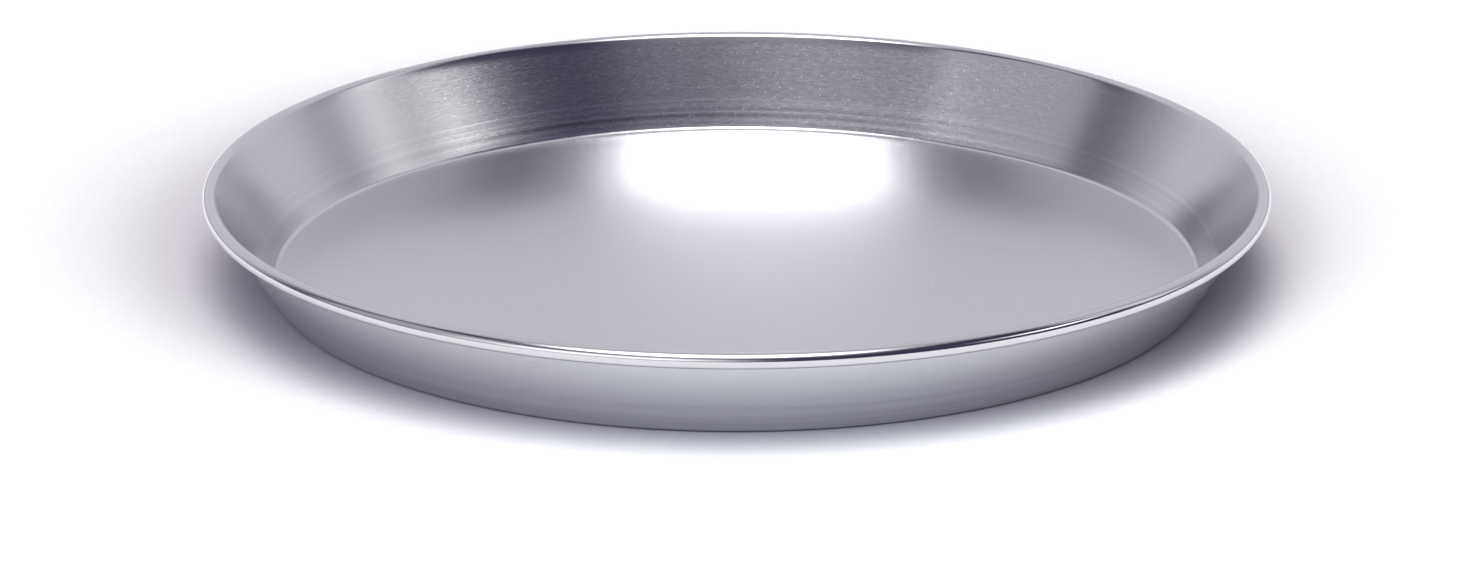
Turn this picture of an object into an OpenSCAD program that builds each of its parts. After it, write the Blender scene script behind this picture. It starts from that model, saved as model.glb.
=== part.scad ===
// Round shallow pie pan of sheet aluminium, spun or pressed in one piece.
// A flat floor turns up through a small rounded corner into a straight leaning wall,
// and the top edge of the wall is curled outward and down into a hollow round bead.
// The origin is the centre of the underside, where the pan rests. +Z is up.
// All lengths are in millimetres and all angles in degrees.

/* [Pan] */
// Diameter over the outside of the rolled rim
rim_d = 300; // [200:1:420]
// Height from the table to the top of the rolled rim
pan_h = 27.8; // [14:0.1:60]
// Lean of the wall outward from upright
wall_lean = 31; // [5:0.5:50]
// Radius inside the corner between floor and wall
corner_r = 1.8; // [0.5:0.1:8]

/* [Sheet] */
// Thickness of the sheet, the same all over
sheet_t = 1.2; // [0.4:0.05:1.6]

/* [Rolled rim] */
// Diameter over the outside of the curled bead
bead_d = 4.3; // [3.4:0.1:9]
// Gap left between the curl's cut edge and the outside of the wall
curl_gap = 0.3; // [0.1:0.05:0.6]

/* [Hidden] */

// Facets around the pan, and the largest turn between two points of a bend
$fn = 180;
bend_step = 10;

// Radii of the outer and inner faces of the two bends
corner_out_r = corner_r + sheet_t;
curl_out_r = bead_d / 2;
curl_in_r = curl_out_r - sheet_t;

// Centre of the curl, [outward, up], just inside the overall diameter and height
curl_c = [rim_d / 2 - curl_out_r, pan_h - curl_out_r];

// Centre of the corner's bend. The wall runs straight between the two bends and touches
// both, with the corner's centre on its inner side and the curl's on its outer side.
centres_apart = corner_r + sheet_t + curl_in_r;
centres_rise = curl_c[1] - corner_out_r;
corner_c = [curl_c[0] - (centres_apart + centres_rise * sin(wall_lean)) / cos(wall_lean), corner_out_r];

// Angles of the bends' ends about their centres, counted anticlockwise from straight outward.
// The curl turns on until its cut edge is curl_gap away from the outside of the wall.
floor_a = -90;
corner_end_a = -wall_lean;
curl_start_a = 180 - wall_lean;
curl_end_a = curl_start_a - 360 + acos((curl_in_r - curl_gap) / curl_out_r);

// Points of one face of a bend, from angle a1 to angle a2
function bend(c, r, a1, a2) =
    let (steps = ceil(abs(a2 - a1) / bend_step))
    [for (i = [0:steps]) let (a = a1 + (a2 - a1) * i / steps) c + r * [cos(a), sin(a)]];

// Half section of the sheet: out along its lower and outer face to the curl's cut edge,
// and back along its upper and inner face
module pan_section() {
    polygon(concat(
        [[0, 0]],
        bend(corner_c, corner_out_r, floor_a, corner_end_a),
        bend(curl_c, curl_in_r, curl_start_a, curl_end_a),
        bend(curl_c, curl_out_r, curl_end_a, curl_start_a),
        bend(corner_c, corner_r, corner_end_a, floor_a),
        [[0, sheet_t]]
    ));
}

module pan() {
    color([0.78, 0.78, 0.80]) rotate_extrude() pan_section();
}

pan();
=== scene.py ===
"""Studio view of a round pie pan of satin sheet aluminium with a rolled rim."""
import math
from collections import namedtuple

import bpy
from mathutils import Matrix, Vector


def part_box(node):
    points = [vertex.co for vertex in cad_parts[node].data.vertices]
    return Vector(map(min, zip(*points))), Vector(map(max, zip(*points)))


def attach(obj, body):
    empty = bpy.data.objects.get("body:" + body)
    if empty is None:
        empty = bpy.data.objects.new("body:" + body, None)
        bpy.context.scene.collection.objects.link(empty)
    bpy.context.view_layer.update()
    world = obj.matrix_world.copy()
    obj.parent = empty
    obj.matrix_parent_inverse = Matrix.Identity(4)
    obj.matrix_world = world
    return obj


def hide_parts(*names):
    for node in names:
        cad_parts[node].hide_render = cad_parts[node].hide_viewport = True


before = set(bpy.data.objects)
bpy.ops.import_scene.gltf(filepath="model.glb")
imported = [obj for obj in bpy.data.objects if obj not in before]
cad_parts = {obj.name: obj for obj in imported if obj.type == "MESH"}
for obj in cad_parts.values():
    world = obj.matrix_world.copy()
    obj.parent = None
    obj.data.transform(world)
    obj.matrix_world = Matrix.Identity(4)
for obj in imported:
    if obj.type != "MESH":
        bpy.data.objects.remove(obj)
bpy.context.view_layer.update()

# Sizes of the pan in metres. The overall ones come from the frame and the rest are the sheet's own.
PAN_LOW, PAN_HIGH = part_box("pan")
RIM_RADIUS = (PAN_HIGH[0] - PAN_LOW[0]) / 2
PAN_HEIGHT = PAN_HIGH[2]
WALL_LEAN = math.radians(31)
CORNER_RADIUS = 0.0018
SHEET = 0.0012
BEAD_RADIUS = 0.00215
CURL_GAP = 0.0003

# Resolution of the pan's mesh
SEGMENTS = 480
FLOOR_RINGS = 24
WALL_RINGS = 14
CORNER_STEP = math.radians(4)
CURL_STEP = math.radians(6)

# Where the finish changes, as distances from the axis
CORNER_MIDDLE = 0.1305
CORNER_BLEND = 0.002
RIM_INSIDE = RIM_RADIUS - 2 * BEAD_RADIUS
RIM_BLEND_IN, RIM_BLEND_OUT = 0.0012, 0.0004

# The wall's back as distances behind the axis, its foot as heights, and the upward part of the
# normal over which the sheet's upper face takes over from its lower one
BACK_START, BACK_FULL = 0.085, 0.125
FOOT_START, FOOT_FULL = 0.012, 0.008
FACING_BLEND = 0.1

# How far a point belongs to each zone of the finish, from 0 to 1. Wall is the wall with the rim.
Zones = namedtuple("Zones", "wall rim back foot")

# Colour and roughness of the metal. Clouds and brushing make the roughness a little uneven.
METAL_COLOUR = (0.62, 0.62, 0.64)
FLOOR_ROUGHNESS = 0.25
WALL_ROUGHNESS = 0.19
RIM_ROUGHNESS = 0.13
UNEVENNESS = 0.06
CLOUD_FINENESS = 22.0
CLOUD_DETAIL = 3.0

# Marks that run round the axis. Fineness is how many there are in a metre along the section, and
# arc is how soon they change on their way round.
Marks = namedtuple("Marks", "fineness arc")
BRUSHING = Marks(fineness=1500.0, arc=12.0)
TURNING = Marks(fineness=560.0, arc=4.0)
GRAIN = Marks(fineness=1900.0, arc=420.0)
MARKS_DETAIL = 3.0

# Depths of the marks in metres, and their tones as parts of the metal's colour. What is called
# added comes on top at the wall's foot.
BRUSHING_DEPTH = 0.000004
TURNING_DEPTH = 0.000003
TURNING_DEPTH_ADDED = 0.000009
GRAIN_DEPTH = 0.000004
TURNING_TONE = 0.03
TURNING_TONE_ADDED = 1.6
GRAIN_TONE = 0.95

# Small bright specks, where a fine noise is near its highest
SPECK_FINENESS = 1600.0
SPECK_DETAIL = 0.0
SPECK_START, SPECK_FULL = 0.72, 0.79
SPECK_TONE = 0.60

# What is left of the grain and of the foot's added marks away from the back of the wall, and of
# all marks on the rim
GRAIN_ELSEWHERE = 0.12
FOOT_ELSEWHERE = 0.2
RIM_SHARE = 0.15

# What a noise is on average
NOISE_MIDDLE = 0.5

# The photograph's frame in pixels, and the camera that was fitted to it
FRAME_WIDTH, FRAME_HEIGHT = 1480, 582
BASE_CENTRE_PX = (736.7, 267.6)
FOCAL_PX = 4380
CAMERA_DISTANCE = 1.245
CAMERA_ELEVATION = math.radians(18.8)
CAMERA_NEAREST, CAMERA_FARTHEST = 0.05, 50
SENSOR_WIDTH = 36.0

# Light of the studio. Azimuths in degrees count clockwise from straight behind the pan, seen
# from above, so 90 is to the right and 180 is the camera's side.
ROOM_COLOUR = (0.052, 0.051, 0.095)

# Soft upright cards round the room. Their angles are in degrees, and a fade reaches as far to both
# sides of its edge. A scratch script fitted these values to the tones in the photograph's metal,
# and they were then rounded and partly changed by hand.
Card = namedtuple("Card", "colour azimuth half_width side_fade low high edge_fade")
CARDS = {
    "backdrop": Card(
        colour=(0.715, 0.71, 0.72), azimuth=1.0,
        half_width=65.5, side_fade=21.5, low=0.5, high=62.5, edge_fade=11.0),
    "right_edge": Card(
        colour=(1.04, 1.02, 1.02), azimuth=79.5,
        half_width=6.5, side_fade=8.0, low=12.5, high=50.5, edge_fade=4.8),
    "right": Card(
        colour=(4.56, 4.54, 4.50), azimuth=107.0,
        half_width=5.0, side_fade=20.5, low=23.7, high=33.8, edge_fade=2.2),
    "front_left": Card(
        colour=(1.93, 1.92, 1.96), azimuth=209.0,
        half_width=25.0, side_fade=15.0, low=6.8, high=34.2, edge_fade=15.0),
    "left": Card(
        colour=(0.46, 0.46, 0.46), azimuth=257.0,
        half_width=21.5, side_fade=4.1, low=5.0, high=49.0, edge_fade=6.6),
}

# Soft lights overhead. Places and sizes are sines of the angle from straight up. The box's fade is
# one too, and the round lamp's fade is a part of its size. The same fit gave the first values of
# both, and most were then changed.
Overhead = namedtuple("Overhead", "colour right back half_width half_length fade")
SOFT_BOX = Overhead(
    colour=(2.37, 2.34, 2.40), right=-0.018, back=-0.13,
    half_width=0.248, half_length=0.38, fade=0.257)
ROUND_LAMP = Overhead(
    colour=(5.4, 5.35, 5.25), right=-0.060, back=-0.205,
    half_width=0.300, half_length=0.240, fade=0.52)

# Paper under the pan, with a fine fibre. Sizes and depths are in metres.
PAPER_COLOUR = (0.75, 0.75, 0.75, 1)
PAPER_HALF_SIZE = 6.0
FIBRE_FINENESS = 900.0
FIBRE_DETAIL = 2.0
FIBRE_DEPTH = 0.000005

# Painted shadow: the paper's colour is darker near the pan, where it stands for the pan's shadow.
# The painted shade is broad on the pan's sides, because it looks for what stands over the paper in a
# dome that faces low to the front. A cool painted contact shade lies close along the base. Reaches
# are in metres.
SHADE_COLOUR = (0.29, 0.265, 0.30, 1)
SHADE_REACH = 0.12
SHADE_AZIMUTH = 173.0
SHADE_ELEVATION = 10.0
SHADE_POWER = 7.0
# Painted contact shade: a cooler, darker colour close along the pan's base
CONTACT_SHADE_COLOUR = (0.84, 0.90, 1.0, 1)
CONTACT_SHADE_REACH = 0.022
NO_CONTACT_SHADE = (1, 1, 1, 1)
OPENNESS_SAMPLES = 12

# Lamp that lights the paper alone, and the metal only through the paper. With it the open paper
# comes to about 1.24, so it clips to white.
PAPER_LAMP_AZIMUTH = 192.0
PAPER_LAMP_ELEVATION = 45.0
PAPER_LAMP_SPREAD = 50.0
PAPER_LAMP_STRENGTH = 2.5
PAPER_LAMP_DISTANCE = 3.0

# The Mix node's sockets for colours, which come after those for its other kinds of data
MIX_LOW, MIX_HIGH, MIX_RESULT = 6, 7, 2


def bend(centre, radius, start, end, step):
    """Points of one face of a bend, from angle start to angle end about its centre."""
    count = max(1, math.ceil(abs(end - start) / step))
    angles = [start + (end - start) * i / count for i in range(count + 1)]
    return [(centre[0] + radius * math.cos(a), centre[1] + radius * math.sin(a)) for a in angles]


def line(start, end, count):
    """Points between start and end, without the two ends."""
    return [
        (start[0] + (end[0] - start[0]) * i / count, start[1] + (end[1] - start[1]) * i / count)
        for i in range(1, count)
    ]


def pan_section():
    """Closed half section of the sheet as (radius, height), from the axis outward along its
    lower face, round the curl and back along its upper face to the axis."""
    curl_in = BEAD_RADIUS - SHEET
    corner_out = CORNER_RADIUS + SHEET
    curl = (RIM_RADIUS - BEAD_RADIUS, PAN_HEIGHT - BEAD_RADIUS)
    apart = CORNER_RADIUS + SHEET + curl_in
    rise = curl[1] - corner_out
    corner = (curl[0] - (apart + rise * math.sin(WALL_LEAN)) / math.cos(WALL_LEAN), corner_out)
    floor_angle, corner_end = -math.pi / 2, -WALL_LEAN
    curl_start = math.pi - WALL_LEAN
    curl_end = curl_start - 2 * math.pi + math.acos((curl_in - CURL_GAP) / BEAD_RADIUS)
    outer_corner = bend(corner, corner_out, floor_angle, corner_end, CORNER_STEP)
    inner_curl = bend(curl, curl_in, curl_start, curl_end, CURL_STEP)
    outer_curl = bend(curl, BEAD_RADIUS, curl_end, curl_start, CURL_STEP)
    inner_corner = bend(corner, CORNER_RADIUS, corner_end, floor_angle, CORNER_STEP)
    under_axis, over_axis = (0.0, 0.0), (0.0, SHEET)
    return (
        [under_axis] + line(under_axis, outer_corner[0], FLOOR_RINGS) + outer_corner
        + line(outer_corner[-1], inner_curl[0], WALL_RINGS) + inner_curl
        + outer_curl + line(outer_curl[-1], inner_corner[0], WALL_RINGS) + inner_corner
        + line(inner_corner[-1], over_axis, FLOOR_RINGS) + [over_axis]
    )


def add_object(name, data):
    """New object of the scene, with its data."""
    made = bpy.data.objects.new(name, data)
    bpy.context.scene.collection.objects.link(made)
    return made


def revolve(name, section, segments):
    """Mesh object of a section turned about Z. The section starts and ends on the axis."""
    rings = section[1:-1]
    verts = [(0.0, 0.0, section[0][1])]
    for radius, height in rings:
        for k in range(segments):
            turn = 2 * math.pi * k / segments
            verts.append((radius * math.cos(turn), radius * math.sin(turn), height))
    verts.append((0.0, 0.0, section[-1][1]))
    last = len(verts) - 1
    top = last - segments
    faces = [(0, 1 + (k + 1) % segments, 1 + k) for k in range(segments)]
    for i in range(len(rings) - 1):
        low, high = 1 + i * segments, 1 + (i + 1) * segments
        for k in range(segments):
            after = (k + 1) % segments
            faces.append((low + k, low + after, high + after, high + k))
    faces += [(last, top + k, top + (k + 1) % segments) for k in range(segments)]
    mesh = bpy.data.meshes.new(name)
    mesh.from_pydata(verts, [], faces)
    mesh.validate()
    mesh.shade_smooth()
    return add_object(name, mesh)


def direction(azimuth, elevation):
    """Unit vector towards an azimuth and an elevation, both in degrees."""
    turn, rise = math.radians(azimuth), math.radians(elevation)
    return Vector((math.sin(turn) * math.cos(rise), math.cos(turn) * math.cos(rise), math.sin(rise)))


def material(name):
    """Empty node material, with its node tree and its output."""
    made = bpy.data.materials.new(name)
    made.use_nodes = True
    tree = made.node_tree
    tree.nodes.clear()
    return made, tree, tree.nodes.new("ShaderNodeOutputMaterial")


def plug(tree, value, socket):
    """Gives a socket its value, which is a plain one or another node's output."""
    if isinstance(value, bpy.types.NodeSocket):
        tree.links.new(value, socket)
    else:
        socket.default_value = value


def maths(tree, operation, *values):
    """Result of a Math node."""
    node = tree.nodes.new("ShaderNodeMath")
    node.operation = operation
    for value, socket in zip(values, node.inputs):
        plug(tree, value, socket)
    return node.outputs[0]


def vector_maths(tree, operation, *values):
    """Vector Math node, with its first inputs filled."""
    node = tree.nodes.new("ShaderNodeVectorMath")
    node.operation = operation
    for value, socket in zip(values, node.inputs):
        plug(tree, value, socket)
    return node


def times(tree, first, second):
    """Product of two values."""
    return maths(tree, "MULTIPLY", first, second)


def times_plus(tree, first, second, added):
    """Product of two values, plus a third."""
    return maths(tree, "MULTIPLY_ADD", first, second, added)


def between(tree, share, start, end):
    """Value that goes from start, where the share is 0, to end, where it is 1."""
    return times_plus(tree, share, end - start, start)


def square_sum(tree, first, second):
    """Sum of the squares of two values."""
    return maths(tree, "ADD", times(tree, first, first), times(tree, second, second))


def fade(tree, value, start, end):
    """Smooth step of a value, from 0 at start to 1 at end. Start may be the larger one."""
    node = tree.nodes.new("ShaderNodeMapRange")
    node.interpolation_type = "SMOOTHSTEP"
    for item, socket in zip((value, start, end), node.inputs):
        plug(tree, item, socket)
    return node.outputs[0]


def join(tree, *values):
    """Vector of three values."""
    node = tree.nodes.new("ShaderNodeCombineXYZ")
    for value, socket in zip(values, node.inputs):
        plug(tree, value, socket)
    return node.outputs[0]


def split(tree, vector):
    """The three values of a vector."""
    node = tree.nodes.new("ShaderNodeSeparateXYZ")
    tree.links.new(vector, node.inputs[0])
    return tuple(node.outputs)


def noise(tree, vector, scale, detail):
    """Noise between 0 and 1, and NOISE_MIDDLE on average."""
    node = tree.nodes.new("ShaderNodeTexNoise")
    node.inputs["Scale"].default_value = scale
    node.inputs["Detail"].default_value = detail
    tree.links.new(vector, node.inputs["Vector"])
    return node.outputs[0]


def about_middle(tree, value):
    """Noise less its middle, so that it is 0 on average."""
    return maths(tree, "SUBTRACT", value, NOISE_MIDDLE)


def blend(tree, kind, amount, low, high):
    """Colour between two others, or their product where kind is MULTIPLY and the amount is 1."""
    node = tree.nodes.new("ShaderNodeMix")
    node.data_type = "RGBA"
    node.blend_type = kind
    plug(tree, amount, node.inputs[0])
    plug(tree, low, node.inputs[MIX_LOW])
    plug(tree, high, node.inputs[MIX_HIGH])
    return node.outputs[MIX_RESULT]


def bump(tree, height):
    """Normal of a surface raised by a height in metres."""
    node = tree.nodes.new("ShaderNodeBump")
    node.inputs["Distance"].default_value = 1.0
    node.inputs["Strength"].default_value = 1.0
    tree.links.new(height, node.inputs["Height"])
    return node.outputs[0]


def openness(tree, reach, dome=None):
    """How open a point is to the light, from 0 to 1. Only what stands within reach covers it, and
    dome is the way that its dome of light faces, where that isn't straight up."""
    node = tree.nodes.new("ShaderNodeAmbientOcclusion")
    node.samples = OPENNESS_SAMPLES
    node.inputs["Distance"].default_value = reach
    if dome:
        tree.links.new(dome, node.inputs["Normal"])
    return node.outputs["AO"]


def pan_zones(tree, radius, place):
    """How far a point belongs to each zone of the pan, from 0 to 1: the wall with the rim, the rim,
    the back of the wall's upper face, and the foot of the wall."""
    y, z = split(tree, place)[1:]
    wall = fade(tree, radius, CORNER_MIDDLE - CORNER_BLEND, CORNER_MIDDLE + CORNER_BLEND)
    rim = fade(tree, radius, RIM_INSIDE - RIM_BLEND_IN, RIM_INSIDE + RIM_BLEND_OUT)
    upward = split(tree, tree.nodes.new("ShaderNodeTexCoord").outputs["Normal"])[2]
    upper_face = times(tree, wall, fade(tree, upward, -FACING_BLEND, FACING_BLEND))
    back = times(tree, upper_face, fade(tree, y, BACK_START, BACK_FULL))
    foot = times(tree, wall, fade(tree, z, FOOT_START, FOOT_FULL))
    foot = times(tree, foot, between(tree, back, FOOT_ELSEWHERE, 1.0))
    return Zones(wall, rim, back, foot)


def round_marks(tree, along, place, marks):
    """Noise of one kind of marks that run round the axis."""
    x, y = split(tree, place)[:2]
    across = times(tree, along, marks.fineness)
    spread = join(tree, across, times(tree, x, marks.arc), times(tree, y, marks.arc))
    return noise(tree, spread, 1.0, MARKS_DETAIL)


def metal_roughness(tree, zones, place, brushing):
    """Roughness of the floor, the wall and the rim, a little uneven all over."""
    cloud = noise(tree, place, CLOUD_FINENESS, CLOUD_DETAIL)
    rough = between(tree, zones.wall, FLOOR_ROUGHNESS, WALL_ROUGHNESS)
    rough = times_plus(tree, zones.rim, RIM_ROUGHNESS - WALL_ROUGHNESS, rough)
    rough = times_plus(tree, about_middle(tree, cloud), UNEVENNESS, rough)
    return times_plus(tree, about_middle(tree, brushing), UNEVENNESS, rough)


def metal_relief(tree, zones, grain_share, brushing, turning, grain):
    """Height of the marks in metres."""
    turning_depth = times_plus(tree, zones.foot, TURNING_DEPTH_ADDED, TURNING_DEPTH)
    relief = times(tree, turning, turning_depth)
    relief = times_plus(tree, brushing, BRUSHING_DEPTH, relief)
    return times_plus(tree, grain, times(tree, grain_share, GRAIN_DEPTH), relief)


def metal_tone(tree, zones, grain_share, place, turning, grain):
    """How much lighter the marks and specks make the metal, as a part of its colour."""
    specks = fade(tree, noise(tree, place, SPECK_FINENESS, SPECK_DETAIL), SPECK_START, SPECK_FULL)
    turning_tone = times_plus(tree, zones.foot, TURNING_TONE_ADDED, TURNING_TONE)
    tone = times(tree, about_middle(tree, grain), times(tree, grain_share, GRAIN_TONE))
    tone = times_plus(tree, about_middle(tree, turning), turning_tone, tone)
    return times_plus(tree, times(tree, specks, zones.back), SPECK_TONE, tone)


def aluminium():
    """Satin aluminium, brushed in fine rings about the axis. The floor is the softest in gloss,
    the wall is closer and the rolled rim is burnished. The back of the wall has a fine grain with
    small bright specks, and the tool's rings show most at its foot."""
    made, tree, out = material("satin_aluminium")
    place = tree.nodes.new("ShaderNodeTexCoord").outputs["Object"]
    x, y, z = split(tree, place)
    radius = maths(tree, "SQRT", square_sum(tree, x, y))
    along = maths(tree, "ADD", radius, z)
    zones = pan_zones(tree, radius, place)
    plain = between(tree, zones.rim, 1.0, RIM_SHARE)
    grain_share = between(tree, zones.back, GRAIN_ELSEWHERE, 1.0)
    brushing = round_marks(tree, along, place, BRUSHING)
    turning = round_marks(tree, along, place, TURNING)
    grain = round_marks(tree, along, place, GRAIN)
    relief = metal_relief(tree, zones, grain_share, brushing, turning, grain)
    tone = metal_tone(tree, zones, grain_share, place, turning, grain)
    colour = vector_maths(tree, "SCALE", METAL_COLOUR)
    tree.links.new(times_plus(tree, tone, plain, 1.0), colour.inputs["Scale"])

    shader = tree.nodes.new("ShaderNodeBsdfPrincipled")
    shader.inputs["Metallic"].default_value = 1
    tree.links.new(colour.outputs[0], shader.inputs["Base Color"])
    tree.links.new(metal_roughness(tree, zones, place, brushing), shader.inputs["Roughness"])
    tree.links.new(bump(tree, times(tree, relief, plain)), shader.inputs["Normal"])
    tree.links.new(shader.outputs["BSDF"], out.inputs["Surface"])
    return made


def make_pan():
    """The whole pan, one revolved sheet."""
    pan = revolve("pan_sheet", pan_section(), SEGMENTS)
    pan.data.materials.append(aluminium())
    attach(pan, "root")
    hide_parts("pan")


def make_camera():
    """The photograph's viewpoint: the base's centre lands on its pixel."""
    data = bpy.data.cameras.new("camera")
    data.sensor_width = SENSOR_WIDTH
    data.lens = FOCAL_PX / FRAME_WIDTH * SENSOR_WIDTH
    data.clip_start, data.clip_end = CAMERA_NEAREST, CAMERA_FARTHEST
    camera = add_object("camera", data)
    back = Vector((0, -math.cos(CAMERA_ELEVATION), math.sin(CAMERA_ELEVATION)))
    camera.location = back * CAMERA_DISTANCE
    # The frame's centre looks past the base's centre by the pixels that part them.
    aim_right = FRAME_WIDTH / 2 - BASE_CENTRE_PX[0]
    aim_down = FRAME_HEIGHT / 2 - BASE_CENTRE_PX[1]
    up = Vector((0, math.sin(CAMERA_ELEVATION), math.cos(CAMERA_ELEVATION)))
    look = -back * FOCAL_PX + Vector((1, 0, 0)) * aim_right - up * aim_down
    camera.rotation_mode = "QUATERNION"
    camera.rotation_quaternion = look.to_track_quat("-Z", "Y")
    bpy.context.scene.camera = camera


def paper():
    """Pale paper with a fine fibre, and a darker, cooler painted shadow near the pan."""
    made, tree, out = material("pale_paper")
    place = tree.nodes.new("ShaderNodeTexCoord").outputs["Object"]
    fibre = times(tree, noise(tree, place, FIBRE_FINENESS, FIBRE_DETAIL), FIBRE_DEPTH)
    # Painted shadow: the paper darkens where the pan covers a dome that faces low to the front.
    dome = join(tree, *direction(SHADE_AZIMUTH, SHADE_ELEVATION))
    shade = maths(tree, "POWER", openness(tree, SHADE_REACH, dome), SHADE_POWER)
    colour = blend(tree, "MIX", shade, SHADE_COLOUR, PAPER_COLOUR)
    # Painted contact shade, cooler and darker close along the pan's base.
    contact_shade = blend(tree, "MIX", openness(tree, CONTACT_SHADE_REACH), CONTACT_SHADE_COLOUR, NO_CONTACT_SHADE)
    colour = blend(tree, "MULTIPLY", 1.0, colour, contact_shade)
    shader = tree.nodes.new("ShaderNodeBsdfDiffuse")
    tree.links.new(colour, shader.inputs["Color"])
    tree.links.new(bump(tree, fibre), shader.inputs["Normal"])
    tree.links.new(shader.outputs["BSDF"], out.inputs["Surface"])
    return made


def make_floor():
    """The sheet of paper that the pan stands on."""
    side = PAPER_HALF_SIZE
    mesh = bpy.data.meshes.new("floor")
    corners = [(-side, -side, 0), (side, -side, 0), (side, side, 0), (-side, side, 0)]
    mesh.from_pydata(corners, [], [(0, 1, 2, 3)])
    floor = add_object("floor", mesh)
    floor.data.materials.append(paper())
    return floor


def make_paper_lamp(floor):
    """A broad soft lamp in front that lights the paper alone."""
    lit = bpy.data.collections.new("lit_by_paper_lamp")
    lit.objects.link(floor)
    data = bpy.data.lights.new("paper_lamp", "SUN")
    data.angle = math.radians(PAPER_LAMP_SPREAD)
    data.energy = PAPER_LAMP_STRENGTH
    lamp = add_object("paper_lamp", data)
    towards = direction(PAPER_LAMP_AZIMUTH, PAPER_LAMP_ELEVATION)
    lamp.location = towards * PAPER_LAMP_DISTANCE
    lamp.rotation_mode = "QUATERNION"
    lamp.rotation_quaternion = towards.to_track_quat("Z", "Y")
    lamp.light_linking.receiver_collection = lit


def soft_edges(tree, value, low, high, edge):
    """How far a value lies between low and high, from 0 to 1, with an edge that fades both ways."""
    above_low = fade(tree, value, low - edge, low + edge)
    below_high = fade(tree, value, high + edge, high - edge)
    return times(tree, above_low, below_high)


def card_light(tree, level, rise, card):
    """How much of an upright card lies in a direction, from 0 to 1. Level is the direction laid
    flat and rise is its angle above the horizon."""
    ahead = vector_maths(tree, "DOT_PRODUCT", level, direction(card.azimuth, 0)).outputs["Value"]
    off = maths(tree, "ARCCOSINE", ahead)
    far, near = card.half_width + card.side_fade, card.half_width - card.side_fade
    side = fade(tree, off, math.radians(far), math.radians(near))
    limits = [math.radians(angle) for angle in (card.low, card.high, card.edge_fade)]
    return times(tree, side, soft_edges(tree, rise, *limits))


def box_light(tree, x, y, box):
    """How much of the soft box overhead lies in a direction, from 0 to 1."""
    off_x = maths(tree, "ABSOLUTE", maths(tree, "SUBTRACT", x, box.right))
    off_y = maths(tree, "ABSOLUTE", maths(tree, "SUBTRACT", y, box.back))
    side = fade(tree, off_x, box.half_width + box.fade, box.half_width - box.fade)
    end = fade(tree, off_y, box.half_length + box.fade, box.half_length - box.fade)
    return times(tree, side, end)


def round_light(tree, x, y, lamp):
    """How much of the soft round lamp overhead lies in a direction, from 0 to 1."""
    off_x = maths(tree, "DIVIDE", maths(tree, "SUBTRACT", x, lamp.right), lamp.half_width)
    off_y = maths(tree, "DIVIDE", maths(tree, "SUBTRACT", y, lamp.back), lamp.half_length)
    off = maths(tree, "SQRT", square_sum(tree, off_x, off_y))
    return fade(tree, off, 1 + lamp.fade, 1 - lamp.fade)


def make_world():
    """Studio surround: a dim room with soft cards on its sides, and a soft box and a soft round
    lamp overhead."""
    world = bpy.data.worlds.new("studio")
    bpy.context.scene.world = world
    world.use_nodes = True
    tree = world.node_tree
    x, y, z = split(tree, tree.nodes.new("ShaderNodeTexCoord").outputs["Generated"])
    level = vector_maths(tree, "NORMALIZE", join(tree, x, y, 0.0)).outputs[0]
    rise = maths(tree, "ARCSINE", z)
    lights = [(card_light(tree, level, rise, card), card.colour) for card in CARDS.values()]
    lights.append((box_light(tree, x, y, SOFT_BOX), SOFT_BOX.colour))
    lights.append((round_light(tree, x, y, ROUND_LAMP), ROUND_LAMP.colour))
    total = join(tree, *ROOM_COLOUR)
    for amount, colour in lights:
        total = vector_maths(tree, "MULTIPLY_ADD", amount, colour, total).outputs[0]
    tree.links.new(total, tree.nodes["Background"].inputs["Color"])


make_camera()
make_pan()
make_world()
make_paper_lamp(make_floor())
bpy.context.scene.view_settings.view_transform = "Standard"
